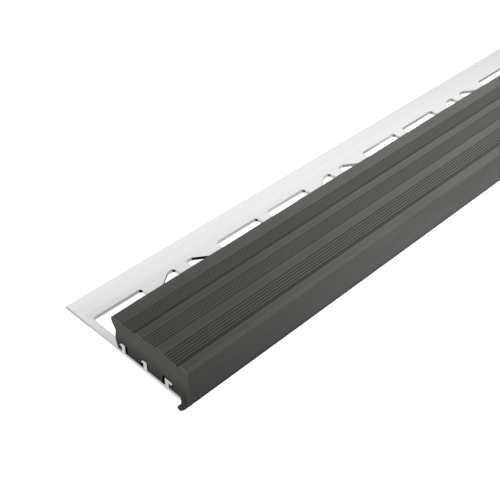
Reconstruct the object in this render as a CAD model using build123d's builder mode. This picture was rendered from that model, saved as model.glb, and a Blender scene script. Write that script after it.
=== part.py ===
"""A cut length of stair nosing: a punched aluminium support profile and its clip-on tread insert.

Sizes are in millimetres. X runs along the length, Y from the nose back over the tread, and Z up.
The origin is at mid length on the front lower edge of the support, the line that is set on the
edge of the step.
"""
import math
import os

from build123d import *

# Stock
stock_length = 1000.0

# Support plate: its front part carries the insert, and its back part is the anchoring leg
plate_thickness = 1.2
plate_width = 52.7
plate_edge_radius = 0.3

# Hooks that stand on the plate and hold the insert, by the middle of their stems
rear_hook_y = 24.6
middle_hook_y = 15.0
front_hook_y = 5.7
stem_width = 1.7
hook_height = 3.1
notch_height = 1.75
rear_hook_reach = 0.95
middle_hook_reach = 1.0
front_hook_reach = 1.65
hook_beak = 0.4
front_hook_beak = 1.1
hook_crown = 0.7
front_hook_crown = 1.1
hook_corner_radius = 0.14

# Windows punched through the leg, which repeat at the punch pitch
punch_pitch = 75.0
slot_length = 18.75
window_web = 5.0
window_corner_radius = 1.0
rim_width = 10.4
hook_to_window = 1.95
tent_crown = 2.7
tent_shoulder_drop = 4.2

# Clearances between the insert and the hooks
clip_clearance = 0.2
rear_recess_gap = 1.0
middle_recess_gap = 0.4
front_recess_gap = 1.2
recess_headroom = 0.25
front_recess_headroom = 0.5
recess_narrowing = 0.4
recess_corner_radius = 0.3

# Back of the insert, under the lip that meets the floor covering
covering_height = 12.5
back_wall = 1.33
foot_inset = 0.85
waist_inset = 0.33
bulge_height = 3.1
waist_bottom = 6.4
waist_top = 7.5
lip_overhang = 1.54
lip_belly = 0.3
lip_edge = 0.9
lip_corner_radius = 0.4

# Tread surface: three bands of fine grooves between low humps, as heights above the covering
groove_count = 6
groove_width = 0.5
groove_floor = 0.26
groove_depth = 0.4
rear_band_y = 24.02
middle_band_y = 15.22
front_band_y = 6.14
rear_band_pitch = 0.92
middle_band_pitch = 0.94
front_band_pitch = 0.97
rear_band_rise = -0.2
middle_band_rise = 0.3
front_band_rise = 0.72
rear_band_slope = 0.09
middle_band_slope = 0.09
front_band_slope = -0.07
rear_hump_rise = 0.8
middle_hump_rise = 1.35
ridge_rise = 1.0
hump_swell = 0.16
step_groove_depth = 0.58
rear_step_run = 1.37
middle_ramp_run = 1.02
front_step_run = 1.55

# Nose, which hangs over the edge of the step
nose_thickness = 2.95
nose_lean = 0.45
nose_corner_drop = 0.35
nose_corner_run = 1.05
nose_taper_start = 3.0
nose_belly = 0.88
nose_drop = 5.0
nose_tip_radius = 0.95
nose_tip_y = 0.75
nose_seat_depth = 2.1


def hook_points(reach, beak, crown):
    """Outline of a hook that faces +u, as (u, v) from the foot of its stem, with its corners' radii."""
    half_stem = stem_width / 2
    tip_u = half_stem + reach
    points = [
        (-half_stem, -plate_thickness / 2),
        (-half_stem, hook_height),
        (crown, hook_height),
        (tip_u, notch_height + beak),
        (tip_u - beak / 3, notch_height),
        (half_stem, notch_height),
        (half_stem, -plate_thickness / 2),
    ]
    radii = [0, hook_corner_radius, hook_corner_radius, hook_corner_radius, hook_corner_radius, 0, 0]
    return points, radii


def recess_points(reach, beak, crown, gap, narrowing, headroom, catch):
    """Outline of the insert's recess around a hook that faces +u, with its corners' radii.

    It is open at the plate. With a catch, the insert reaches under the hook's head to its stem.
    """
    back_u = -stem_width / 2 - gap
    side_u = stem_width / 2 + reach + clip_clearance
    roof = hook_height + headroom
    points = [
        (back_u, -plate_thickness / 2),
        (back_u + narrowing, roof),
        (crown + clip_clearance, roof),
        (side_u, notch_height + beak + clip_clearance),
    ]
    if catch:
        catch_top = notch_height - clip_clearance
        stem_side = stem_width / 2 + clip_clearance
        points += [(side_u, catch_top), (stem_side, catch_top), (stem_side, -plate_thickness / 2)]
    else:
        points += [(side_u, -plate_thickness / 2)]
    radii = [0, recess_corner_radius, recess_corner_radius] + [0] * (len(points) - 3)
    return points, radii


def on_plate(points, stem_y, facing):
    """Section points of a hook or recess, set on the plate's top at its stem and facing +Y or -Y."""
    return [(stem_y + facing * u, plate_thickness + v) for u, v in points]


def groove_band(first_y, rise, slope, pitch, ends_in_step):
    """Section points of one band of flat-bottomed grooves, from the back to the front.

    With a step at its end, the last groove is deeper and its floor is the foot of the step.
    """
    half_floor = groove_floor / 2
    points = []
    for n in range(groove_count):
        y = first_y - n * pitch
        z = covering_height + rise + slope * n * pitch
        points += [
            (y + groove_width / 2, z),
            (y + half_floor, z - groove_depth),
            (y - half_floor, z - groove_depth),
            (y - groove_width / 2, z),
        ]
    if ends_in_step:
        points[-3:] = [(y + half_floor, z - step_groove_depth), (y - half_floor, z - step_groove_depth)]
    return points


def hump_crown(back, front):
    """Point in the middle of a hump's upper side, which swells over the line between its two ends."""
    return ((back[0] + front[0]) / 2, (back[1] + front[1]) / 2 + hump_swell)


# Section of the support profile: the plate and its three hooks
window_front_y = rear_hook_y + stem_width / 2 + hook_to_window
window_depth = plate_width - rim_width - window_front_y
hooks = [
    (rear_hook_y, 1, hook_points(rear_hook_reach, hook_beak, hook_crown)),
    (middle_hook_y, 1, hook_points(middle_hook_reach, hook_beak, hook_crown)),
    (front_hook_y, -1, hook_points(front_hook_reach, front_hook_beak, front_hook_crown)),
]

# Windows of one punch pitch: a slot, the two halves of a tent with its strut, and a slot
tent_width = (punch_pitch - 2 * slot_length - 4 * window_web) / 2
slot_x = (window_web + slot_length) / 2
slot_y = window_front_y + window_depth / 2
strut_x = punch_pitch / 2
tent_top_y = window_front_y + window_depth
with BuildSketch() as tent_half:
    with BuildLine():
        FilletPolyline(
            (window_web / 2, window_front_y),
            (window_web / 2, tent_top_y),
            (window_web / 2 + tent_crown, tent_top_y),
            (window_web / 2 + tent_width, tent_top_y - tent_shoulder_drop),
            (window_web / 2 + tent_width, window_front_y),
            radius=window_corner_radius,
            close=True,
        )
    make_face()

with BuildSketch() as punch:
    with Locations((slot_x, slot_y), (punch_pitch - slot_x, slot_y)):
        RectangleRounded(slot_length, window_depth, window_corner_radius)
    with Locations((strut_x, 0)):
        add(tent_half.sketch)
        add(mirror(tent_half.sketch, about=Plane.YZ, mode=Mode.PRIVATE))

with BuildPart() as support_profile:
    with BuildSketch(Plane.YZ):
        with Locations((plate_width / 2, plate_thickness / 2)):
            Rectangle(plate_width, plate_thickness)
        for stem_y, facing, (points, radii) in hooks:
            with BuildLine():
                FilletPolyline(*on_plate(points, stem_y, facing), radius=radii, close=True)
            make_face()
    extrude(amount=stock_length / 2, both=True)
    leg_edges = support_profile.edges().filter_by(Axis.X).group_by(Axis.Y)[-1]
    fillet(leg_edges, plate_edge_radius)
    pitch_starts = [k * punch_pitch - stock_length / 2 for k in range(math.ceil(stock_length / punch_pitch))]
    with BuildSketch(Plane.XY.offset(-plate_thickness / 2)):
        with Locations(*[(x, 0) for x in pitch_starts]):
            add(punch.sketch)
    extrude(amount=2 * plate_thickness, mode=Mode.SUBTRACT)
support_profile.part.label = "support_profile"

# Landmarks of the insert's section, going round from the foot of its back wall
back_y = rear_hook_y + stem_width / 2 + rear_hook_reach + clip_clearance + back_wall
foot = (back_y - foot_inset, plate_thickness)
bulge = (back_y, plate_thickness + bulge_height)
waist_y = back_y - waist_inset
waist_low = (waist_y, plate_thickness + waist_bottom)
waist_high = (waist_y, plate_thickness + waist_top)
lip_y = waist_y + lip_overhang
lip_low = (lip_y, covering_height - lip_edge)
lip_middle = ((waist_y + lip_y) / 2 + lip_belly, (waist_high[1] + lip_low[1]) / 2 - lip_belly / 2)
rear_band = groove_band(rear_band_y, rear_band_rise, rear_band_slope, rear_band_pitch, True)
middle_band = groove_band(middle_band_y, middle_band_rise, middle_band_slope, middle_band_pitch, False)
front_band = groove_band(front_band_y, front_band_rise, front_band_slope, front_band_pitch, True)
last_groove = groove_count - 1
rear_step_top = (rear_band_y - last_groove * rear_band_pitch - rear_step_run, covering_height + rear_hump_rise)
middle_ramp_top = (middle_band[-1][0] - middle_ramp_run, covering_height + middle_hump_rise)
front_step_top = (front_band_y - last_groove * front_band_pitch - front_step_run, covering_height + ridge_rise)
corner_start = (-nose_thickness - nose_lean + nose_corner_run, front_step_top[1] - nose_corner_drop)
corner_end = (-nose_thickness - nose_lean, corner_start[1] - 1.15 * nose_corner_run)
corner_middle = (corner_end[0] + nose_corner_run / 4, corner_start[1] - 0.4 * nose_corner_run)
front_low = (-nose_thickness, nose_taper_start)
tip_low = (nose_tip_y, -nose_drop)
tip_front = (nose_tip_y - 0.75 * nose_tip_radius, -nose_drop + 0.6 * nose_tip_radius)
tip_back = (nose_tip_y + 0.94 * nose_tip_radius, -nose_drop + 1.33 * nose_tip_radius)
belly = ((front_low[0] + tip_front[0]) / 2 - nose_belly, (front_low[1] + tip_front[1]) / 2 - nose_belly / 2)
seat_low = (0, -nose_seat_depth)

recesses = [
    (rear_hook_y, 1, recess_points(
        rear_hook_reach, hook_beak, hook_crown, rear_recess_gap, 0, recess_headroom, True)),
    (middle_hook_y, 1, recess_points(
        middle_hook_reach, hook_beak, hook_crown, middle_recess_gap, 0, recess_headroom, False)),
    (front_hook_y, -1, recess_points(
        front_hook_reach, front_hook_beak, front_hook_crown, front_recess_gap, recess_narrowing,
        front_recess_headroom, True)),
]

with BuildPart() as tread_insert:
    with BuildSketch(Plane.YZ) as insert_section:
        with BuildLine():
            ThreePointArc(foot, bulge, waist_low)
            Line(waist_low, waist_high)
            ThreePointArc(waist_high, lip_middle, lip_low)
            FilletPolyline(lip_low, (lip_y, covering_height), rear_band[0], radius=lip_corner_radius)
            Polyline(*rear_band, rear_step_top)
            ThreePointArc(rear_step_top, hump_crown(rear_step_top, middle_band[0]), middle_band[0])
            Polyline(*middle_band, middle_ramp_top)
            ThreePointArc(middle_ramp_top, hump_crown(middle_ramp_top, front_band[0]), front_band[0])
            Polyline(*front_band, front_step_top)
            ThreePointArc(front_step_top, hump_crown(front_step_top, corner_start), corner_start)
            ThreePointArc(corner_start, corner_middle, corner_end)
            Line(corner_end, front_low)
            ThreePointArc(front_low, belly, tip_front)
            ThreePointArc(tip_front, tip_low, tip_back)
            Polyline(tip_back, seat_low, (0, plate_thickness), foot)
        make_face()
        for stem_y, facing, (points, radii) in recesses:
            with BuildLine():
                FilletPolyline(*on_plate(points, stem_y, facing), radius=radii, close=True)
            make_face(mode=Mode.SUBTRACT)
    extrude(amount=stock_length / 2, both=True)
tread_insert.part.label = "tread_insert"

os.makedirs("parts", exist_ok=True)
export_step(support_profile.part, "parts/support_profile.step")
export_step(tread_insert.part, "parts/tread_insert.step")
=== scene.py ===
"""Looks of a stair nosing: a punched aluminium support profile and the tread insert clipped onto it.

Sizes are written in millimetres and turned into metres where a mesh is made. X runs along the length,
Y from the nose back over the tread, and Z up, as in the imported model.
"""
from __future__ import annotations

import logging
import math
from dataclasses import dataclass
from enum import Enum
from typing import Any, Sequence

import bpy
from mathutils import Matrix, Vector


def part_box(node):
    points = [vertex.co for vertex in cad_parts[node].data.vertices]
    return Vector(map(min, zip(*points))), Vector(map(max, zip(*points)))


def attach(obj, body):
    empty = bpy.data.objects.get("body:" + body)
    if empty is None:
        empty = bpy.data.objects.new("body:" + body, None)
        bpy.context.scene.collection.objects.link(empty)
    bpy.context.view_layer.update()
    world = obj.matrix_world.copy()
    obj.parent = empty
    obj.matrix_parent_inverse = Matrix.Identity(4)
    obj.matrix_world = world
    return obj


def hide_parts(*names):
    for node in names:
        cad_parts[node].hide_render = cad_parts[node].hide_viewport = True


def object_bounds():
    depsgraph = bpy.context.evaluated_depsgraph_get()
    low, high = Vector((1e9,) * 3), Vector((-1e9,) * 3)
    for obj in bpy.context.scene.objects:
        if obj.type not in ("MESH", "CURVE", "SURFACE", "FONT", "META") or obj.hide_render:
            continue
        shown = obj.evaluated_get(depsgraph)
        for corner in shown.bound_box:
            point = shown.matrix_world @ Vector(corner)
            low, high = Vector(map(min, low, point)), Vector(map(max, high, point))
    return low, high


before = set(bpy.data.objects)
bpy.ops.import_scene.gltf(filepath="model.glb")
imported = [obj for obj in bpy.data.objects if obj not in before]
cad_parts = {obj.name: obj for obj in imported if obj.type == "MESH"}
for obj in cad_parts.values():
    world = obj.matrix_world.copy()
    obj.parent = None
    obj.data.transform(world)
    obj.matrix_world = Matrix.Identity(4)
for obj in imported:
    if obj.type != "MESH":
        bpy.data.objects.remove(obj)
CAD_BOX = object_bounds()

log = logging.getLogger("stair_nosing")

MM = 0.001
BODY = "root"
SUPPORT_NODE = "support_profile"
INSERT_NODE = "tread_insert"

PUNCHED = "punched"
GROOVED = "grooved"
SAME_POINT = 0.001
CORNER_CHORDS = 8
# A window cutter's height in plate thicknesses, and a groove blade's reach each way in stock lengths.
CUTTER_HEIGHT = 3.0
BLADE_REACH = 0.6
BEVEL_ANGLE = math.radians(25)
SHARP_ANGLE = math.radians(12)

Point = tuple[float, float]
Colour = tuple[float, float, float, float]
Rounded = tuple[list[Point], list[float]]
Region = tuple[Point, Point]
Socket = bpy.types.NodeSocket


class Facing(Enum):
    """Which way a hook's head points: back over the tread, or front towards the nose."""

    BACK = 1
    FRONT = -1


class Outline:
    """An outline in a plane, drawn corner by corner in millimetres.

    Attributes:
        points: The corners so far, with arcs already divided into short chords.
    """

    CHORD_TURN = math.radians(9)
    SHORTEST_CHORD = 1e-6

    def __init__(self, *points: Point) -> None:
        """Starts the outline with its first corners."""
        self.points = [Vector(point) for point in points]

    def line(self, *points: Point) -> Outline:
        """Goes on through corners in straight lines, and returns the outline for the next call."""
        self.points += [Vector(point) for point in points]
        return self

    def arc(self, middle: Point, end: Point) -> Outline:
        """Goes on along an arc.

        Args:
            middle: A point on the arc.
            end: Its last point.

        Returns:
            The outline itself, for the next call.
        """
        first, second, third = self.points[-1], Vector(middle), Vector(end)
        chord, other = second - first, third - first
        twice_area = 2 * chord.cross(other)
        centre = first + Vector((
            (other.y * chord.length_squared - chord.y * other.length_squared) / twice_area,
            (chord.x * other.length_squared - other.x * chord.length_squared) / twice_area,
        ))
        start = first - centre
        turn = math.atan2(start.cross(third - centre), start.dot(third - centre))
        if turn * twice_area < 0:
            turn += math.copysign(2 * math.pi, twice_area)
        self._sweep(centre, start, turn)
        return self

    def rounded(self, corners: Sequence[Point], radii: Sequence[float]) -> Outline:
        """Goes on in straight lines with rounded corners.

        Args:
            corners: The corners to pass, of which the last is the end.
            radii: The radius at each corner but the last, where 0 leaves it sharp.

        Returns:
            The outline itself, for the next call.
        """
        path = [self.points[-1], *(Vector(corner) for corner in corners)]
        for before, corner, after, radius in zip(path, path[1:], path[2:], radii):
            if not radius:
                self.points.append(corner)
                continue
            to_before, to_after = (before - corner).normalized(), (after - corner).normalized()
            half = to_before.angle(to_after) / 2
            centre = corner + (to_before + to_after).normalized() * radius / math.sin(half)
            start = corner + to_before * radius / math.tan(half) - centre
            end = corner + to_after * radius / math.tan(half) - centre
            self._sweep(centre, start, math.atan2(start.cross(end), start.dot(end)))
        self.points.append(path[-1])
        return self

    def _sweep(self, centre: Vector, start: Vector, turn: float) -> None:
        """Adds the chords of an arc.

        Args:
            centre: The arc's centre.
            start: From the centre to the arc's first point.
            turn: The angle that the arc turns, positive anticlockwise.
        """
        steps = max(2, math.ceil(abs(turn) / self.CHORD_TURN))
        for step in range(steps + 1):
            angle = turn * step / steps
            across = Vector((-start.y, start.x))
            point = centre + start * math.cos(angle) + across * math.sin(angle)
            if (point - self.points[-1]).length > self.SHORTEST_CHORD:
                self.points.append(point)

    def curve(self) -> list[tuple[float, float, float, float]]:
        """The corners as a poly spline's points, in metres."""
        return [(point.x * MM, point.y * MM, 0.0, 1.0) for point in self.points]


def grey(level: float) -> Colour:
    """A neutral colour."""
    return level, level, level, 1.0


def add_object(name: str, data: bpy.types.ID) -> bpy.types.Object:
    """Makes an object from its data and links it to the scene.

    Args:
        name: The object's name.
        data: Its mesh, curve, camera or light.

    Returns:
        The object.
    """
    made = bpy.data.objects.new(name, data)
    bpy.context.scene.collection.objects.link(made)
    return made


def outline_object(name: str, outlines: Sequence[Outline]) -> bpy.types.Object:
    """Makes a curve object of closed outlines, for a geometry tree to read.

    Args:
        name: The object's name.
        outlines: The outlines, each a closed spline in the XY plane.

    Returns:
        The curve object.
    """
    curve = bpy.data.curves.new(name, "CURVE")
    curve.dimensions = "3D"
    for outline in outlines:
        points = outline.curve()
        spline = curve.splines.new("POLY")
        spline.points.add(len(points) - 1)
        spline.points.foreach_set("co", [value for point in points for value in point])
        spline.use_cyclic_u = True
    return add_object(name, curve)


class NodeGraph:
    """Adds nodes to a tree and links them.

    Attributes:
        tree: The node tree.
    """

    def __init__(self, tree: bpy.types.NodeTree) -> None:
        """Keeps the tree that the nodes go into."""
        self.tree = tree

    def first(self, kind: str) -> bpy.types.Node:
        """The tree's first node of a type, such as a new material's shader."""
        return next(node for node in self.tree.nodes if node.type == kind)

    def feed(self, target: Socket, value: Any) -> None:
        """Gives an input a value or links it.

        Args:
            target: The input's socket.
            value: The value, or the output socket to link.
        """
        if isinstance(value, Socket):
            self.tree.links.new(value, target)
        else:
            target.default_value = value

    def add(self, kind: str, inputs: dict[str | int, Any] | None = None, **settings: Any) -> bpy.types.Node:
        """Adds one node.

        Args:
            kind: The node's type name.
            inputs: A value or an output socket for each input, by its name or place.
            **settings: Properties of the node itself.

        Returns:
            The node.
        """
        node = self.tree.nodes.new(kind)
        for name, value in settings.items():
            setattr(node, name, value)
        for key, value in (inputs or {}).items():
            self.feed(node.inputs[key], value)
        return node

    def math(self, operation: str, *values: Any) -> Socket:
        """Works out one number from the numbers or sockets that a Math node's operation takes."""
        return self.add("ShaderNodeMath", dict(enumerate(values)), operation=operation).outputs[0]

    def spread(self, value: Any, start: float, end: float, low: Any = 0.0, high: Any = 1.0) -> Socket:
        """Maps a number from the range start to end onto the range low to high, and holds it inside."""
        inputs = {"Value": value, "From Min": start, "From Max": end, "To Min": low, "To Max": high}
        return self.add("ShaderNodeMapRange", inputs).outputs[0]

    def mix(self, factor: Any, first: Any, second: Any) -> Socket:
        """Mixes two colours or sockets, by how much of the second shows."""
        return self.add("ShaderNodeMix", {0: factor, 6: first, 7: second}, data_type="RGBA").outputs[2]


class PieceTree(NodeGraph):
    """A geometry tree with named inputs that makes or works a piece."""

    def __init__(self, name: str, inputs: dict[str, str]) -> None:
        """Makes the tree with its inputs and its output.

        Args:
            name: The tree's name.
            inputs: The kind of each named input, besides Geometry and Material.
        """
        super().__init__(bpy.data.node_groups.new(name, "GeometryNodeTree"))
        for socket_name, kind in {"Geometry": "Geometry", **inputs, "Material": "Material"}.items():
            self.tree.interface.new_socket(socket_name, in_out="INPUT", socket_type="NodeSocket" + kind)
        self.tree.interface.new_socket("Geometry", in_out="OUTPUT", socket_type="NodeSocketGeometry")
        self.given = self.add("NodeGroupInput").outputs

    def vector(self, x: Any = 0.0, y: Any = 0.0, z: Any = 0.0) -> Socket:
        """Joins three numbers or sockets to a vector."""
        return self.add("ShaderNodeCombineXYZ", {0: x, 1: y, 2: z}).outputs[0]

    def marked(self, mesh: Socket, name: str) -> Socket:
        """Gives a mesh's faces a named attribute of 1, so that a finish can tell what the mesh cuts."""
        inputs = {"Geometry": mesh, "Name": name, "Value": 1.0}
        return self.add("GeometryNodeStoreNamedAttribute", inputs, domain="FACE").outputs[0]

    def drawn_out(self, section: Socket, near: Any, far: Any) -> Socket:
        """Draws a section out along X to a closed solid.

        Args:
            section: The section's closed curve, in the XY plane.
            near: The X that it starts at.
            far: The X that it ends at.

        Returns:
            The solid's socket.
        """
        ends = {"Start": self.vector(z=near), "End": self.vector(z=far)}
        path = self.add("GeometryNodeCurvePrimitiveLine", ends).outputs[0]
        inputs = {"Curve": path, "Profile Curve": section, "Fill Caps": True}
        upright = self.add("GeometryNodeCurveToMesh", inputs).outputs[0]
        laid = {"Geometry": upright, "Rotation": (math.pi / 2, 0.0, math.pi / 2)}
        return self.add("GeometryNodeTransform", laid).outputs[0]

    def cut_row(self, cutter: Socket, count: Any, first: Any, step: Any) -> None:
        """Cuts a row of equal solids out of the piece and ends the tree.

        Args:
            cutter: The solid to cut with.
            count: How many there are.
            first: The place of the first.
            step: The way from one to the next.
        """
        inputs = {"Count": count, "Start Location": first, "Offset": step}
        places = self.add("GeometryNodeMeshLine", inputs, mode="OFFSET").outputs[0]
        row = self.add("GeometryNodeInstanceOnPoints", {"Points": places, "Instance": cutter}).outputs[0]
        row = self.add("GeometryNodeRealizeInstances", {"Geometry": row}).outputs[0]
        inputs = {"Mesh 1": self.given["Geometry"], "Mesh 2": row}
        rest = self.add("GeometryNodeMeshBoolean", inputs, operation="DIFFERENCE", solver="EXACT")
        self.close(rest.outputs["Mesh"])

    def close(self, geometry: Socket) -> None:
        """Ends the tree with its result.

        Args:
            geometry: The finished geometry's socket.
        """
        realized = self.add("GeometryNodeRealizeInstances", {"Geometry": geometry}).outputs[0]
        inputs = {"Geometry": realized, "Material": self.given["Material"]}
        dressed = self.add("GeometryNodeSetMaterial", inputs).outputs[0]
        self.add("NodeGroupOutput", {0: dressed})

    def work(self, piece: bpy.types.Object, values: dict[str, Any]) -> None:
        """Puts the tree on a piece as a modifier, with its inputs set.

        Args:
            piece: The object that the tree works on.
            values: A value for each named input.
        """
        modifier = piece.modifiers.new(self.tree.name, "NODES")
        modifier.node_group = self.tree
        for item in self.tree.interface.items_tree:
            if item.in_out == "INPUT" and item.name in values:
                modifier[item.identifier] = values[item.name]


def extrusion_tree() -> PieceTree:
    """Makes the tree that draws a section out along X to a closed solid.

    Returns:
        The tree, with the inputs Section, Near end and Far end.
    """
    tree = PieceTree("extruded_stock", {"Section": "Object", "Near end": "Float", "Far end": "Float"})
    section = tree.add("GeometryNodeObjectInfo", {"Object": tree.given["Section"]}).outputs["Geometry"]
    tree.close(tree.drawn_out(section, tree.given["Near end"], tree.given["Far end"]))
    return tree


def punch_tree() -> PieceTree:
    """Makes the tree that punches one set of windows through a plate at every pitch.

    Returns:
        The tree, with the windows' outlines, their pitch, copies and corner radius, and the plate's
        thickness as inputs.
    """
    tree = PieceTree("punched_windows", {
        "Windows": "Object",
        "First": "Float",
        "Pitch": "Float",
        "Copies": "Int",
        "Corner radius": "Float",
        "Plate thickness": "Float",
    })
    given = tree.given
    outlines = tree.add("GeometryNodeObjectInfo", {"Object": given["Windows"]}).outputs["Geometry"]
    inputs = {"Curve": outlines, "Count": CORNER_CHORDS, "Radius": given["Corner radius"]}
    outlines = tree.add("GeometryNodeFilletCurve", inputs, mode="POLY").outputs[0]
    foot = tree.add("GeometryNodeFillCurve", {"Curve": outlines}, mode="NGONS").outputs[0]
    height = tree.math("MULTIPLY", given["Plate thickness"], CUTTER_HEIGHT)
    inputs = {"Mesh": foot, "Offset": tree.vector(z=height), "Individual": False}
    sides = tree.add("GeometryNodeExtrudeMesh", inputs, mode="FACES").outputs["Mesh"]
    flipped = tree.add("GeometryNodeFlipFaces", {"Mesh": foot}).outputs[0]
    joined = tree.add("GeometryNodeJoinGeometry", {0: sides})
    tree.feed(joined.inputs[0], flipped)
    inputs = {"Geometry": joined.outputs[0], "Distance": SAME_POINT * MM}
    closed = tree.add("GeometryNodeMergeByDistance", inputs).outputs[0]
    lowered = tree.vector(z=tree.math("MULTIPLY", given["Plate thickness"], -1.0))
    cutter = tree.add("GeometryNodeTransform", {"Geometry": closed, "Translation": lowered}).outputs[0]
    first, step = tree.vector(given["First"]), tree.vector(given["Pitch"])
    tree.cut_row(tree.marked(cutter, PUNCHED), given["Copies"], first, step)
    return tree


def groove_tree() -> PieceTree:
    """Makes the tree that cuts one band of flat-bottomed grooves along a tread.

    Returns:
        The tree, with the band's place and slope, and the grooves' count, pitch, widths and depth as
        inputs.
    """
    tree = PieceTree("groove_band", {
        "First groove": "Vector",
        "Slope": "Float",
        "Count": "Int",
        "Pitch": "Float",
        "Width": "Float",
        "Floor width": "Float",
        "Depth": "Float",
        "Length": "Float",
    })
    given = tree.given
    half_floor = tree.math("MULTIPLY", given["Floor width"], 0.5)
    half_top = tree.math("SUBTRACT", given["Width"], half_floor)
    bottom = tree.math("MULTIPLY", given["Depth"], -1.0)
    inputs = {
        "Point 1": tree.vector(tree.math("MULTIPLY", half_top, -1.0), given["Depth"]),
        "Point 2": tree.vector(tree.math("MULTIPLY", half_floor, -1.0), bottom),
        "Point 3": tree.vector(half_floor, bottom),
        "Point 4": tree.vector(half_top, given["Depth"]),
    }
    blade_end = tree.add("GeometryNodeCurvePrimitiveQuadrilateral", inputs, mode="POINTS").outputs[0]
    reach = tree.math("MULTIPLY", given["Length"], BLADE_REACH)
    blade = tree.drawn_out(blade_end, tree.math("MULTIPLY", reach, -1.0), reach)
    step = tree.vector(
        y=tree.math("MULTIPLY", given["Pitch"], -1.0),
        z=tree.math("MULTIPLY", given["Pitch"], given["Slope"]),
    )
    tree.cut_row(tree.marked(blade, GROOVED), given["Count"], given["First groove"], step)
    return tree


class Finish(NodeGraph):
    """A material whose nodes read the piece's Object coordinates.

    Attributes:
        material: The material.
        shader: Its shader.
        place: The coordinates' socket.
        parts: The sockets of their X, Y and Z.
    """

    # How deep a sawn end's finish reaches, in millimetres.
    END_SKIN = 0.02
    NOISE_ROUGHNESS = 0.55
    MIDDLE_RANGE = (0.3, 0.7)

    def __init__(self, name: str) -> None:
        """Makes the material with its shader.

        Args:
            name: The material's name.
        """
        self.material = bpy.data.materials.new(name)
        self.material.use_nodes = True
        super().__init__(self.material.node_tree)
        self.shader = self.first("BSDF_PRINCIPLED")
        self.place = self.add("ShaderNodeTexCoord").outputs["Object"]
        self.parts = tuple(self.add("ShaderNodeSeparateXYZ", {0: self.place}).outputs)

    def noise(self, size: Sequence[float], detail: float = 2.0) -> Socket:
        """Adds a noise pattern, the same on every piece in its own place.

        Args:
            size: The pattern's size along X, Y and Z in millimetres.
            detail: How many finer layers it has.

        Returns:
            The noise's socket, from 0 to 1.
        """
        scale = tuple(1 / (part * MM) for part in size)
        scaled = self.add("ShaderNodeMapping", {"Vector": self.place, "Scale": scale}).outputs[0]
        inputs = {"Vector": scaled, "Scale": 1.0, "Detail": detail, "Roughness": self.NOISE_ROUGHNESS}
        return self.add("ShaderNodeTexNoise", inputs).outputs[0]

    def between(self, factor: Socket, low: float, high: float) -> Socket:
        """Spreads a pattern's middle range over two values."""
        return self.spread(factor, *self.MIDDLE_RANGE, low, high)

    def blend(self, factor: Any, first: Any, second: Any) -> Socket:
        """Mixes two numbers or sockets, by how much of the second shows."""
        return self.add("ShaderNodeMix", {0: factor, 2: first, 3: second}, data_type="FLOAT").outputs[0]

    def bump(self, layers: Sequence[tuple[Socket, float]]) -> None:
        """Gives the shader a relief of several layers.

        Args:
            layers: Each layer's height pattern and its height in millimetres.
        """
        normal = None
        for height, depth in layers:
            node = self.add("ShaderNodeBump", {"Height": height, "Distance": depth * MM})
            if normal:
                self.feed(node.inputs["Normal"], normal)
            normal = node.outputs[0]
        self.feed(self.shader.inputs["Normal"], normal)

    def mark(self, name: str) -> Socket:
        """The socket that is 1 on the faces that a tree has marked."""
        return self.add("ShaderNodeAttribute", attribute_name=name).outputs["Fac"]

    def sawn(self, half_length: float) -> Socket:
        """The socket that is 1 on the ends of a stock with this half length, in millimetres."""
        limit = (half_length - self.END_SKIN) * MM
        return self.math("GREATER_THAN", self.math("ABSOLUTE", self.parts[0]), limit)

    def within(self, y_range: Point, z_range: Point) -> Socket:
        """Tells a part of the section from the rest.

        Args:
            y_range: Its lowest and highest Y, in millimetres.
            z_range: Its lowest and highest Z, in millimetres.

        Returns:
            A socket that is 1 there and 0 elsewhere.
        """
        inside = [
            self.math("COMPARE", part, (low + high) / 2 * MM, (high - low) / 2 * MM)
            for part, (low, high) in zip(self.parts[1:], (y_range, z_range))
        ]
        return self.math("MULTIPLY", *inside)

    def finish(self, **sockets: Any) -> bpy.types.Material:
        """Sets the shader's sockets.

        Args:
            **sockets: A value or an output socket for each input, with _ for a space.

        Returns:
            The finished material.
        """
        for name, value in sockets.items():
            self.feed(self.shader.inputs[name.replace("_", " ")], value)
        return self.material


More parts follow.
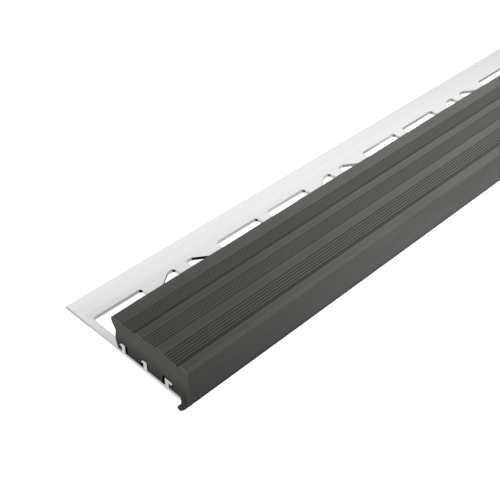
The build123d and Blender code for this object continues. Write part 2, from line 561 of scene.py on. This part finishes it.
@dataclass(frozen=True)
class DrawnAluminium:
    """Pressed and lightly brushed aluminium, with fine lines along its length and punched windows.

    Attributes:
        light: The bare metal's colour.
        dull: Its colour in the dull streaks.
        bare: The colour of a punched wall and of a sawn end.
        painted_shade: A dark colour painted on the metal under the insert, as shade where no light falls.
        painted_shade_y: The lowest and highest Y of that part.
        painted_shade_z: Its lowest and highest Z.
        drawn_roughness: The drawn faces' lowest and highest roughness.
        punched_roughness: A punched wall's roughness.
        sawn_roughness: A sawn end's roughness.
        line_relief: The depth of the drawing lines.
        grain_relief: The depth of the grain.
    """

    light: Colour = grey(0.92)
    dull: Colour = grey(0.88)
    bare: Colour = grey(0.98)
    painted_shade: Colour = grey(0.06)
    painted_shade_y: Point = (0.1, 27.5)
    painted_shade_z: Point = (1.15, 5.0)
    drawn_roughness: Point = (0.15, 0.2)
    punched_roughness: float = 0.11
    sawn_roughness: float = 0.22
    line_relief: float = 0.004
    grain_relief: float = 0.001

    def make(self, half_length: float) -> bpy.types.Material:
        """Makes the material.

        Args:
            half_length: Half the stock's length, in millimetres.

        Returns:
            The material.
        """
        look = Finish("drawn_aluminium")
        broad = look.noise((160.0, 1.6, 1.6))
        fine = look.noise((60.0, 0.18, 0.18), detail=1.0)
        grain = look.noise((0.25, 0.25, 0.25))
        punched, sawn = look.mark(PUNCHED), look.sawn(half_length)
        colour = look.mix(look.between(broad, 0.0, 1.0), self.light, self.dull)
        colour = look.mix(punched, colour, self.bare)
        # Painted shade: the metal under the insert is dark.
        colour = look.mix(look.within(self.painted_shade_y, self.painted_shade_z), colour, self.painted_shade)
        colour = look.mix(sawn, colour, self.bare)
        roughness = look.blend(punched, look.between(fine, *self.drawn_roughness), self.punched_roughness)
        roughness = look.blend(sawn, roughness, self.sawn_roughness)
        look.bump([(fine, self.line_relief), (grain, self.grain_relief)])
        return look.finish(Base_Color=colour, Roughness=roughness, Metallic=1.0)


@dataclass(frozen=True)
class MattRubber:
    """Matt soft plastic, black with a slight olive cast, extruded smooth and sawn at its ends.

    Attributes:
        tread: The drawn surface's colour.
        worn: Its colour in the paler clouds.
        cut: The colour of a sawn end, where the saw tore it.
        low_shade: The sawn end's darker colour low down, painted shade that grows towards the bottom.
        groove: The darker colour painted inside the grooves, as shade.
        rim_highlight: The paler colour painted on the edge round a sawn end, as a highlight.
        painted_shade: A near-black colour painted in the recesses round the hooks, as shade where no light
            falls.
        painted_shade_y: The lowest and highest Y of that part.
        painted_shade_z: Its lowest and highest Z.
        rim_width: How wide that painted highlight round a sawn end is.
        low_shade_range: The heights between which that painted shade fades.
        torn_range: How torn the sawn end is at its least and most.
        drawn_roughness: The drawn faces' lowest and highest roughness.
        groove_roughness: The roughness inside the grooves.
        low_cut_roughness: A sawn end's roughness low down.
        torn_roughness: Its roughness where it is torn.
        line_relief: The depth of the drawing lines.
        grain_relief: The depth of the grain.
        gloss: How strongly the surface mirrors.
    """

    tread: Colour = (0.0248, 0.0248, 0.0229, 1.0)
    worn: Colour = (0.0291, 0.0291, 0.0268, 1.0)
    cut: Colour = (0.105, 0.1065, 0.086, 1.0)
    low_shade: Colour = (0.02, 0.0203, 0.0155, 1.0)
    groove: Colour = (0.022, 0.022, 0.0202, 1.0)
    rim_highlight: Colour = (0.052, 0.052, 0.046, 1.0)
    painted_shade: Colour = grey(0.002)
    painted_shade_y: Point = (0.3, 27.0)
    painted_shade_z: Point = (1.25, 5.2)
    rim_width: float = 0.25
    low_shade_range: Point = (2.5, 9.0)
    torn_range: Point = (0.85, 1.1)
    drawn_roughness: Point = (0.2, 0.25)
    groove_roughness: float = 0.255
    low_cut_roughness: float = 0.39
    torn_roughness: float = 0.25
    line_relief: float = 0.004
    grain_relief: float = 0.012
    gloss: float = 0.25

    def make(self, half_length: float, step_grooves: Sequence[Region]) -> bpy.types.Material:
        """Makes the material.

        Args:
            half_length: Half the stock's length, in millimetres.
            step_grooves: The Y and Z ranges that hold the grooves which no blade cuts.

        Returns:
            The material.
        """
        look = Finish("matt_rubber")
        clouds = look.noise((30.0, 6.0, 6.0))
        lines = look.noise((80.0, 0.22, 0.22), detail=1.0)
        grain = look.noise((0.3, 0.3, 0.3))
        torn = look.noise((0.8, 0.8, 0.5), detail=3.0)
        grooved = look.mark(GROOVED)
        for ranges in step_grooves:
            grooved = look.math("MAXIMUM", grooved, look.within(*ranges))
        painted_shade = look.within(self.painted_shade_y, self.painted_shade_z)
        sawn, rim_highlight = look.sawn(half_length), look.sawn(half_length - self.rim_width)
        low, high = self.low_shade_range
        # Painted shade: the sawn end is darker towards the bottom, and torn at random higher up.
        shade_and_tear = look.spread(look.parts[2], low * MM, high * MM, high=look.between(torn, *self.torn_range))
        colour = look.mix(look.between(clouds, 0.0, 1.0), self.tread, self.worn)
        # Painted shade: the grooves are darker than the tread.
        colour = look.mix(grooved, colour, self.groove)
        # Painted highlight: the edge round a sawn end is paler.
        colour = look.mix(rim_highlight, colour, self.rim_highlight)
        # Painted shade: the recesses round the hooks are near black.
        colour = look.mix(painted_shade, colour, self.painted_shade)
        colour = look.mix(sawn, colour, look.mix(shade_and_tear, self.low_shade, self.cut))
        roughness = look.blend(grooved, look.between(grain, *self.drawn_roughness), self.groove_roughness)
        roughness = look.blend(painted_shade, roughness, 1.0)
        sawn_roughness = look.blend(shade_and_tear, self.low_cut_roughness, self.torn_roughness)
        roughness = look.blend(sawn, roughness, sawn_roughness)
        look.bump([(grain, self.grain_relief), (lines, self.line_relief)])
        return look.finish(Base_Color=colour, Roughness=roughness, Specular_IOR_Level=self.gloss)


@dataclass(frozen=True)
class Stock:
    """What the two pieces share: the ends of the stock and the plate that the insert sits on.

    Attributes:
        near_end: The near end's X.
        far_end: The far end's X.
        plate_width: The support plate's width, from the nose's seat to the leg's free edge.
        plate_thickness: Its thickness.
    """

    near_end: float
    far_end: float
    plate_width: float
    plate_thickness: float = 1.2

    @classmethod
    def from_frame(cls) -> Stock:
        """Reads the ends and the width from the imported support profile."""
        low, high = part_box(SUPPORT_NODE)
        return cls(low.x / MM, high.x / MM, high.y / MM)

    @property
    def length(self) -> float:
        """The stock's length."""
        return self.far_end - self.near_end

    def extrude(self, name: str, section: Outline, material: bpy.types.Material) -> bpy.types.Object:
        """Makes a piece that draws a section out over the stock's length.

        Args:
            name: The piece's name.
            section: The piece's section.
            material: The piece's material.

        Returns:
            The piece, with the tree as its first modifier.
        """
        piece = add_object(name, bpy.data.meshes.new(name))
        extrusion_tree().work(piece, {
            "Section": outline_object(name + "_section", [section]),
            "Near end": self.near_end * MM,
            "Far end": self.far_end * MM,
            "Material": material,
        })
        return piece


STEM_WIDTH = 1.7
HOOK_HEIGHT = 3.1
NOTCH_HEIGHT = 1.75
CLIP_CLEARANCE = 0.2


@dataclass(frozen=True)
class Hook:
    """One hook of the support profile and the insert's recess around it.

    Attributes:
        stem_y: The middle of its stem.
        facing: Which way its head points.
        reach: How far the head stands out from the stem.
        beak: The height of the head's lip over the notch.
        crown: How far the head's flat top reaches past the stem's middle.
        gap: The insert's clearance behind the stem.
        headroom: The insert's clearance over the head.
        narrowing: How much narrower the recess is at its roof, of which it has a part at its foot.
        catch: Whether the insert reaches under the head.
    """

    stem_y: float
    facing: Facing
    reach: float
    beak: float
    crown: float
    gap: float
    headroom: float = 0.25
    narrowing: float = 0.0
    catch: bool = True

    CORNER_RADIUS = 0.14
    RECESS_RADIUS = 0.3
    FOOT_PART = 0.15

    def shape(self) -> Rounded:
        """Draws the hook on its own axes, whose origin is the middle of the stem's foot.

        Returns:
            The corners from the foot of its back to the foot of its front, and their radii.
        """
        half_stem = STEM_WIDTH / 2
        tip = half_stem + self.reach
        corners = [
            (-half_stem, 0.0),
            (-half_stem, HOOK_HEIGHT),
            (self.crown, HOOK_HEIGHT),
            (tip, NOTCH_HEIGHT + self.beak),
            (tip - self.beak / 3, NOTCH_HEIGHT),
            (half_stem, NOTCH_HEIGHT),
            (half_stem, 0.0),
        ]
        return corners, [0.0, *[self.CORNER_RADIUS] * 4, 0.0, 0.0]

    def recess(self) -> Rounded:
        """Draws the recess on the same axes.

        Returns:
            The corners in the same order, and their radii.
        """
        back = -STEM_WIDTH / 2 - self.gap
        side = STEM_WIDTH / 2 + self.reach + CLIP_CLEARANCE
        roof = HOOK_HEIGHT + self.headroom
        corners = [
            (back + self.narrowing * self.FOOT_PART, 0.0),
            (back + self.narrowing, roof),
            (self.crown + CLIP_CLEARANCE, roof),
            (side, NOTCH_HEIGHT + self.beak + CLIP_CLEARANCE),
        ]
        if self.catch:
            catch_top = NOTCH_HEIGHT - CLIP_CLEARANCE
            stem_side = STEM_WIDTH / 2 + CLIP_CLEARANCE
            corners += [(side, catch_top), (stem_side, catch_top), (stem_side, 0.0)]
        else:
            corners += [(side, 0.0)]
        return corners, [0.0, self.RECESS_RADIUS, self.RECESS_RADIUS] + [0.0] * (len(corners) - 3)

    def set_on(self, plate_top: float, drawn: Rounded, outline: Outline) -> None:
        """Draws the hook or its recess on the plate, from its front to its back.

        Args:
            plate_top: The plate's upper face.
            drawn: What shape or recess returns.
            outline: The section's outline, which has reached the plate in front of the hook.
        """
        step = self.facing.value
        corners = [(self.stem_y + step * u, plate_top + v) for u, v in drawn[0]][::step]
        radii = drawn[1][::step]
        outline.line(corners[0]).rounded(corners[1:], radii[1:])


HOOKS = (
    Hook(5.7, Facing.FRONT, reach=1.65, beak=1.1, crown=1.1, gap=1.2, headroom=0.5, narrowing=0.4),
    Hook(15.0, Facing.BACK, reach=1.0, beak=0.4, crown=0.7, gap=0.4, catch=False),
    Hook(24.6, Facing.BACK, reach=0.95, beak=0.4, crown=0.7, gap=1.0),
)


def soften_and_freeze(piece: bpy.types.Object, edge_width: float) -> None:
    """Rounds a piece's sharp edges a little and turns it into a plain mesh.

    Args:
        piece: The object, whose modifiers make its shape.
        edge_width: The width of the softened edges, in millimetres.
    """
    bevel = piece.modifiers.new("soft_edges", "BEVEL")
    bevel.width = edge_width * MM
    bevel.segments = 2
    bevel.limit_method = "ANGLE"
    bevel.angle_limit = BEVEL_ANGLE
    bevel.use_clamp_overlap = False
    bevel.miter_outer = "MITER_ARC"
    graph = bpy.context.evaluated_depsgraph_get()
    mesh = bpy.data.meshes.new_from_object(piece.evaluated_get(graph), depsgraph=graph)
    piece.modifiers.clear()
    mesh.name = piece.name
    piece.data = mesh
    mesh.shade_smooth()
    mesh.set_sharp_from_angle(angle=SHARP_ANGLE)
    for helper in [item for item in bpy.data.objects if item.type == "CURVE"]:
        bpy.data.objects.remove(helper)


@dataclass
class SupportProfile:
    """The aluminium support: a plate with three hooks whose back part is a punched anchoring leg.

    Attributes:
        stock: The ends and the plate.
        edge_radius: The rounding of the leg's free edge.
        punch_pitch: The length that one set of windows repeats over.
        slot_length: A slot's length along X.
        window_web: The metal left between two windows.
        corner_radius: The windows' corners.
        rim_width: The metal left behind the windows.
        hook_to_window: The metal left between the rear hook and the windows.
        tent_crown: The straight part of a tent half's back edge.
        tent_shoulder_drop: How far the rest of that edge slants towards the front.
        edge_softness: The width of the softened edges.
    """

    stock: Stock
    edge_radius: float = 0.3
    punch_pitch: float = 75.0
    slot_length: float = 18.75
    window_web: float = 5.0
    corner_radius: float = 1.0
    rim_width: float = 10.4
    hook_to_window: float = 1.95
    tent_crown: float = 2.7
    tent_shoulder_drop: float = 4.2
    edge_softness: float = 0.08

    def section(self) -> Outline:
        """Draws the section, from the plate's front lower edge along its top and back underneath.

        Returns:
            The section's outline.
        """
        top, width = self.stock.plate_thickness, self.stock.plate_width
        outline = Outline((0.0, 0.0), (0.0, top))
        for hook in HOOKS:
            hook.set_on(top, hook.shape(), outline)
        outline.rounded([(width, top), (width, 0.0), (width / 2, 0.0)], [self.edge_radius] * 2)
        return outline

    def windows(self) -> list[Outline]:
        """Draws the windows of one pitch, with sharp corners.

        Returns:
            The outlines of a slot, the two halves of a tent and another slot.
        """
        front = HOOKS[-1].stem_y + STEM_WIDTH / 2 + self.hook_to_window
        back = self.stock.plate_width - self.rim_width
        half_web, middle = self.window_web / 2, self.punch_pitch / 2
        tent_width = (self.punch_pitch - 2 * self.slot_length - 4 * self.window_web) / 2
        slots = [
            Outline((start, front), (start, back), (start + self.slot_length, back),
                    (start + self.slot_length, front))
            for start in (half_web, self.punch_pitch - half_web - self.slot_length)
        ]
        tents = [
            Outline(*((middle + side * u, v) for u, v in (
                (half_web, front),
                (half_web, back),
                (half_web + self.tent_crown, back),
                (half_web + tent_width, back - self.tent_shoulder_drop),
                (half_web + tent_width, front),
            )))
            for side in (-1, 1)
        ]
        return [slots[0], *tents, slots[1]]

    def build(self, finish: DrawnAluminium) -> bpy.types.Object:
        """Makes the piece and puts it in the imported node's place.

        Args:
            finish: The metal's finish.

        Returns:
            The finished piece.
        """
        material = finish.make(self.stock.length / 2)
        piece = self.stock.extrude("punched_support", self.section(), material)
        punch_tree().work(piece, {
            "Windows": outline_object("window_outlines", self.windows()),
            "First": self.stock.near_end * MM,
            "Pitch": self.punch_pitch * MM,
            "Copies": math.ceil(self.stock.length / self.punch_pitch),
            "Corner radius": self.corner_radius * MM,
            "Plate thickness": self.stock.plate_thickness * MM,
            "Material": material,
        })
        soften_and_freeze(piece, self.edge_softness)
        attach(piece, BODY)
        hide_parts(SUPPORT_NODE)
        return piece


@dataclass(frozen=True)
class GrooveBand:
    """One band of fine grooves and the climb from it to the hump in front.

    Attributes:
        first_y: The first groove's place, at the band's back.
        rise: The band's height over the floor covering at that groove.
        slope: How much it climbs towards the front.
        pitch: The distance from one groove to the next.
        climb_run: How far the hump's back is in front of the last groove.
        hump_rise: Its height over the floor covering there.
        ends_in_step: Whether the last groove is a deeper one, at the foot of a step.
    """

    first_y: float
    rise: float
    slope: float
    pitch: float
    climb_run: float
    hump_rise: float
    ends_in_step: bool = True


@dataclass
class TreadInsert:
    """The soft tread insert: grooved bands between low humps, a lip at the back and a nose in front.

    Heights are over the plate's upper face, unless they say otherwise.

    Attributes:
        stock: The ends and the plate.
        covering_height: The covering's upper face, over the plate's underside.
        back_wall: The wall behind the rear hook's recess.
        foot_inset: How far the back wall's foot stands in front of its bulge.
        waist_inset: How far the waist over the bulge does.
        bulge_height: The height of the bulge.
        waist_bottom: The height at which the waist starts.
        waist_top: The height at which it ends.
        lip_overhang: How far the lip reaches behind the waist.
        lip_belly: How far its underside bulges.
        lip_edge: How high its upright edge is.
        lip_corner_radius: The rounding of its upper corner.
        groove_count: The grooves in one band.
        groove_width: A groove's width at the surface.
        groove_floor: The width of its floor.
        groove_depth: Its depth.
        bands: The bands, from the back to the front.
        step_groove_depth: The depth of the groove at the foot of a step.
        step_groove_margins: How far its painted groove shade ends under the surface and goes on under its
            floor.
        hump_swell: How far the upper side of a hump or of the front ridge bulges.
        nose_thickness: The nose's thickness in front of the plate.
        nose_lean: How far its front leans out towards the top.
        nose_corner_drop: How far the ridge falls to where the corner starts.
        nose_corner_run: How far the corner reaches along Y.
        nose_taper_start: How high over the underside the front turns back to the tip.
        nose_belly: How far that part bulges.
        nose_drop: How far the tip hangs under the plate.
        nose_tip_radius: The tip's rounding.
        nose_tip_y: The Y of its lowest point.
        nose_seat_depth: How far the inner side stays upright under the plate.
        edge_softness: The width of the softened edges.
    """

    stock: Stock
    covering_height: float = 12.5
    back_wall: float = 1.33
    foot_inset: float = 0.85
    waist_inset: float = 0.33
    bulge_height: float = 3.1
    waist_bottom: float = 6.4
    waist_top: float = 7.5
    lip_overhang: float = 1.54
    lip_belly: float = 0.3
    lip_edge: float = 0.9
    lip_corner_radius: float = 0.4
    groove_count: int = 6
    groove_width: float = 0.5
    groove_floor: float = 0.26
    groove_depth: float = 0.4
    bands: tuple[GrooveBand, ...] = (
        GrooveBand(24.02, -0.2, 0.09, 0.92, climb_run=1.37, hump_rise=0.8),
        GrooveBand(15.22, 0.3, 0.09, 0.94, climb_run=1.27, hump_rise=1.35, ends_in_step=False),
        GrooveBand(6.14, 0.72, -0.07, 0.97, climb_run=1.55, hump_rise=1.0),
    )
    step_groove_depth: float = 0.58
    step_groove_margins: Point = (0.02, 0.05)
    hump_swell: float = 0.16
    nose_thickness: float = 2.95
    nose_lean: float = 0.45
    nose_corner_drop: float = 0.35
    nose_corner_run: float = 1.05
    nose_taper_start: float = 3.0
    nose_belly: float = 0.88
    nose_drop: float = 5.0
    nose_tip_radius: float = 0.95
    nose_tip_y: float = 0.75
    nose_seat_depth: float = 2.1
    edge_softness: float = 0.05

    # Points on the nose's corner and on its tip, as parts of nose_corner_run and nose_tip_radius.
    CORNER_FALL = 1.15
    CORNER_SHOULDER = (0.25, 0.4)
    TIP_FRONT = (0.75, 0.6)
    TIP_BACK = (0.94, 1.33)

    def blades(self, band: GrooveBand) -> int:
        """The number of a band's grooves that are cut with a blade."""
        return self.groove_count - band.ends_in_step

    def last_groove(self, band: GrooveBand) -> float:
        """The Y of a band's last groove."""
        return band.first_y - (self.groove_count - 1) * band.pitch

    def band_surface(self, band: GrooveBand) -> list[Point]:
        """Finds the corners of a band's surface, from the back to the front.

        Args:
            band: The band.

        Returns:
            Its two ends, or with a step its back end and the deeper groove at the foot of the step.
        """
        half_top, half_floor = self.groove_width / 2, self.groove_floor / 2
        first_z = self.covering_height + band.rise
        last_y = self.last_groove(band)
        last_z = first_z + band.slope * (self.groove_count - 1) * band.pitch
        corners = [(band.first_y + half_top, first_z)]
        if not band.ends_in_step:
            return [*corners, (last_y - half_top, last_z)]
        floor = last_z - self.step_groove_depth
        corners += [(last_y + half_top, last_z), (last_y + half_floor, floor), (last_y - half_floor, floor)]
        return corners

    def step_grooves(self) -> list[Region]:
        """Finds where the deeper grooves at the feet of the steps are.

        Returns:
            The Y and Z ranges that hold each of them.
        """
        ranges = []
        clear, under = self.step_groove_margins
        for band in self.bands:
            if band.ends_in_step:
                edge, floor = self.band_surface(band)[1:3]
                ranges.append(((edge[0] - self.groove_width, edge[0]), (floor[1] - under, edge[1] - clear)))
        return ranges

    def swell(self, outline: Outline, back: Point, front: Point) -> None:
        """Draws a hump's upper side on an outline, from the top of its back to the foot of its front."""
        middle = ((back[0] + front[0]) / 2, (back[1] + front[1]) / 2 + self.hump_swell)
        outline.line(back).arc(middle, front)

    def section(self) -> Outline:
        """Draws the section with smooth bands, from the foot of its back wall over the tread.

        Returns:
            The section's outline.
        """
        plate_top, covering = self.stock.plate_thickness, self.covering_height
        rear_hook = HOOKS[-1]
        back_y = rear_hook.stem_y + STEM_WIDTH / 2 + rear_hook.reach + CLIP_CLEARANCE + self.back_wall
        waist_y = back_y - self.waist_inset
        waist_high = (waist_y, plate_top + self.waist_top)
        lip_y = waist_y + self.lip_overhang
        lip_low = (lip_y, covering - self.lip_edge)
        belly_z = (waist_high[1] + lip_low[1]) / 2 - self.lip_belly / 2
        lip_middle = ((waist_y + lip_y) / 2 + self.lip_belly, belly_z)
        outline = Outline((back_y - self.foot_inset, plate_top))
        outline.arc((back_y, plate_top + self.bulge_height), (waist_y, plate_top + self.waist_bottom))
        outline.line(waist_high).arc(lip_middle, lip_low)
        surfaces = [self.band_surface(band) for band in self.bands]
        humps = [(self.last_groove(band) - band.climb_run, covering + band.hump_rise) for band in self.bands]
        outline.rounded([(lip_y, covering), surfaces[0][0]], [self.lip_corner_radius])
        for surface, hump, next_surface in zip(surfaces, humps, surfaces[1:]):
            self.swell(outline.line(*surface[1:]), hump, next_surface[0])
        self._draw_nose(outline.line(*surfaces[-1][1:]), humps[-1])
        outline.line((0.0, plate_top))
        for hook in HOOKS:
            hook.set_on(plate_top, hook.recess(), outline)
        return outline

    def _draw_nose(self, outline: Outline, ridge_back: Point) -> None:
        """Draws the front ridge and the nose, down to the plate's front edge.

        Args:
            outline: The section's outline, which has reached the foot of the ridge.
            ridge_back: The top of the ridge's back.
        """
        run, radius = self.nose_corner_run, self.nose_tip_radius
        shoulder_back, shoulder_fall = self.CORNER_SHOULDER
        start_y = -self.nose_thickness - self.nose_lean + run
        start_z = ridge_back[1] - self.nose_corner_drop
        corner_end = (start_y - run, start_z - self.CORNER_FALL * run)
        corner_middle = (corner_end[0] + run * shoulder_back, start_z - shoulder_fall * run)
        low = (-self.nose_thickness, self.nose_taper_start)
        tip = (self.nose_tip_y, -self.nose_drop)
        tip_front = (tip[0] - self.TIP_FRONT[0] * radius, tip[1] + self.TIP_FRONT[1] * radius)
        tip_back = (tip[0] + self.TIP_BACK[0] * radius, tip[1] + self.TIP_BACK[1] * radius)
        belly_z = (low[1] + tip_front[1]) / 2 - self.nose_belly / 2
        belly = ((low[0] + tip_front[0]) / 2 - self.nose_belly, belly_z)
        self.swell(outline, ridge_back, (start_y, start_z))
        outline.arc(corner_middle, corner_end).line(low).arc(belly, tip_front).arc(tip, tip_back)
        outline.line((0.0, -self.nose_seat_depth))

    def build(self, finish: MattRubber) -> bpy.types.Object:
        """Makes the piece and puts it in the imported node's place.

        Args:
            finish: The soft plastic's finish.

        Returns:
            The finished piece.
        """
        material = finish.make(self.stock.length / 2, self.step_grooves())
        piece = self.stock.extrude("grooved_insert", self.section(), material)
        grooves = groove_tree()
        for band in self.bands:
            first = Vector((0.0, band.first_y, self.covering_height + band.rise)) * MM
            grooves.work(piece, {
                "First groove": first,
                "Slope": band.slope,
                "Count": self.blades(band),
                "Pitch": band.pitch * MM,
                "Width": self.groove_width * MM,
                "Floor width": self.groove_floor * MM,
                "Depth": self.groove_depth * MM,
                "Length": self.stock.length * MM,
                "Material": material,
            })
        soften_and_freeze(piece, self.edge_softness)
        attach(piece, BODY)
        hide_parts(INSERT_NODE)
        return piece


@dataclass(frozen=True)
class Camera:
    """The camera, where the photograph was taken from.

    Attributes:
        place: Its place, in metres.
        heading: The angle of its view from +X towards +Y, in degrees.
        tilt: How far it looks down, in degrees.
        lens: Its focal length on a 36 mm sensor.
    """

    place: tuple[float, float, float] = (-0.6129735, -0.139419, 0.200297)
    heading: float = 44.877
    tilt: float = 39.395
    lens: float = 69.04

    SENSOR_WIDTH = 36.0

    def set_up(self) -> None:
        """Makes the camera and gives it to the scene."""
        data = bpy.data.cameras.new("camera")
        data.lens = self.lens
        data.sensor_width = self.SENSOR_WIDTH
        data.clip_start = 0.01
        camera = add_object("camera", data)
        camera.location = self.place
        camera.rotation_euler = (math.radians(90 - self.tilt), 0.0, math.radians(self.heading - 90))
        bpy.context.scene.camera = camera


@dataclass(frozen=True)
class StripLight:
    """A long soft light along the stock, which leaves the near end dimmer than the rest.

    Attributes:
        place: Its middle, in metres.
        power: Its power, in watts.
        length: Its length along X, in metres.
        width: Its width, in metres.
        aim: The Y and Z of the line along the tread that it is turned towards, in metres.
    """

    place: tuple[float, float, float]
    power: float
    length: float = 0.9
    width: float = 0.1
    aim: Point = (0.01, 0.01)

    def set_up(self) -> None:
        """Makes the light."""
        data = bpy.data.lights.new("strip", "AREA")
        data.shape = "RECTANGLE"
        data.size, data.size_y = self.length, self.width
        data.energy = self.power
        light = add_object("strip", data)
        light.location = self.place
        across, up = self.aim[0] - self.place[1], self.aim[1] - self.place[2]
        light.rotation_euler = (math.atan2(across, -up), 0.0, 0.0)
        light.visible_camera = False
        light.visible_glossy = False


@dataclass(frozen=True)
class DarkCard:
    """A dark card below the horizon, which leaves part of the light from there.

    Attributes:
        direction: The direction in which it stands.
        levels: Pairs of the cosine to that direction and the light that is left there.
    """

    direction: tuple[float, float, float]
    levels: tuple[Point, ...]


@dataclass(frozen=True)
class Studio:
    """A plain pale floor under soft light.

    Attributes:
        floor_size: The floor's width, in metres.
        floor_colour: The floor's own colour.
        floor_glow: How bright the floor is by itself, as a light table is.
        brightness: How bright the dome is.
        sky: The dome's light beyond the stock's far end, as pairs of the direction's height and the level.
        plain_sky: The dome's level above the horizon everywhere else.
        graded_from: How far a direction leans along the stock where the sky's light starts.
        graded_to: How far it leans where the sky has taken over.
        horizon: How far the horizon's edge spreads up and down, as a direction's height.
        cards: The dark cards that dim the light from below the horizon.
        strips: The lights that hang along the stock.
    """

    floor_size: float = 60.0
    floor_colour: Colour = grey(0.9)
    floor_glow: float = 0.8
    brightness: float = 1.0
    sky: tuple[Point, ...] = (
        (0.0, 0.03), (0.25, 0.35), (0.4, 0.8), (0.5, 1.0), (0.6, 0.98), (0.66, 0.86), (0.7, 0.72),
        (0.76, 0.1), (0.8, 0.03))
    plain_sky: float = 0.5
    graded_from: float = 0.2
    graded_to: float = 0.36
    horizon: float = 0.08
    cards: tuple[DarkCard, ...] = (
        DarkCard((-0.396, -0.472, -0.788), (
            (0.0, 0.14), (0.2, 0.35), (0.36, 0.44), (0.43, 0.88), (0.5, 0.6), (0.58, 0.56), (0.65, 0.44),
            (0.85, 0.42), (0.925, 0.42), (0.955, 0.0))),
        DarkCard((-0.68, 0.0, -0.73), ((0.905, 1.0), (0.945, 0.0))),
        DarkCard((-0.1, -0.5, -0.86), ((0.91, 1.0), (0.932, 0.0))),
        DarkCard((0.42, 0.24, -0.875), ((0.8, 0.82), (0.93, 0.4), (0.985, 0.06))),
    )
    strips: tuple[StripLight, ...] = (
        StripLight((-0.01, -0.046, 0.15), 4.8),
        StripLight((0.02, -0.1, -0.05), 1.75),
    )

    def set_up(self, floor_level: float) -> None:
        """Makes the floor and the light.

        Args:
            floor_level: The floor's height, in metres.
        """
        bpy.context.scene.view_settings.view_transform = "Standard"
        self._floor(floor_level)
        self._dome()
        for strip in self.strips:
            strip.set_up()

    def _floor(self, level: float) -> None:
        """Makes the floor, which is seen through from below.

        Args:
            level: Its height, in metres.
        """
        half = self.floor_size / 2
        mesh = bpy.data.meshes.new("floor")
        corners = [(-half, -half, level), (half, -half, level), (half, half, level), (-half, half, level)]
        mesh.from_pydata(corners, [], [(0, 1, 2, 3)])
        floor = add_object("floor", mesh)
        look = Finish("pale_floor")
        material = look.finish(
            Base_Color=self.floor_colour, Roughness=1.0, Specular_IOR_Level=0.0,
            Emission_Color=grey(1.0), Emission_Strength=self.floor_glow)
        under = look.add("ShaderNodeNewGeometry").outputs["Backfacing"]
        clear = look.add("ShaderNodeBsdfTransparent").outputs[0]
        seen = look.add("ShaderNodeMixShader", {0: under, 1: look.shader.outputs[0], 2: clear}).outputs[0]
        look.feed(look.first("OUTPUT_MATERIAL").inputs["Surface"], seen)
        mesh.materials.append(material)
        floor.visible_diffuse = False
        floor.visible_glossy = False
        floor.visible_shadow = False

    def _dome(self) -> None:
        """Makes the soft light that comes from all round."""
        world = bpy.data.worlds.new("studio")
        world.use_nodes = True
        bpy.context.scene.world = world
        graph = NodeGraph(world.node_tree)
        direction = graph.add("ShaderNodeTexCoord").outputs["Generated"]
        along, _, height = graph.add("ShaderNodeSeparateXYZ", {0: direction}).outputs
        beyond = graph.spread(along, self.graded_from, self.graded_to)
        sky = graph.mix(beyond, grey(self.plain_sky), self._levels(graph, height, self.sky))
        ground: Any = 1.0
        for card in self.cards:
            inputs = {0: direction, 1: card.direction}
            cosine = graph.add("ShaderNodeVectorMath", inputs, operation="DOT_PRODUCT").outputs["Value"]
            ground = graph.math("MULTIPLY", ground, self._levels(graph, cosine, card.levels))
        light = graph.mix(graph.spread(height, -self.horizon, self.horizon), ground, sky)
        camera_ray = graph.add("ShaderNodeLightPath").outputs["Is Camera Ray"]
        background = graph.first("BACKGROUND")
        graph.feed(background.inputs["Color"], graph.mix(camera_ray, light, grey(1.0)))
        graph.feed(background.inputs["Strength"], self.brightness)

    @staticmethod
    def _levels(graph: NodeGraph, factor: Socket, levels: Sequence[Point]) -> Socket:
        """Adds a ramp of grey levels.

        Args:
            graph: The graph that it goes into.
            factor: What the ramp is read with.
            levels: Pairs of a place on the ramp and its level.

        Returns:
            The level's socket.
        """
        node = graph.add("ShaderNodeValToRGB", {0: factor})
        elements = node.color_ramp.elements
        for _ in levels[2:]:
            elements.new(0.5)
        for element, (place, level) in zip(elements, levels):
            element.position = place
            element.color = grey(level)
        return node.outputs[0]


def main() -> None:
    """Builds the stair nosing and its studio."""
    logging.basicConfig(level=logging.INFO, format="%(name)s: %(message)s")
    Camera().set_up()
    stock = Stock.from_frame()
    pieces = [
        SupportProfile(stock).build(DrawnAluminium()),
        TreadInsert(stock).build(MattRubber()),
    ]
    for piece in pieces:
        log.info("%s: %d faces", piece.name, len(piece.data.polygons))
    Studio().set_up(floor_level=CAD_BOX[0].z)


if __name__ == "__main__":
    main()
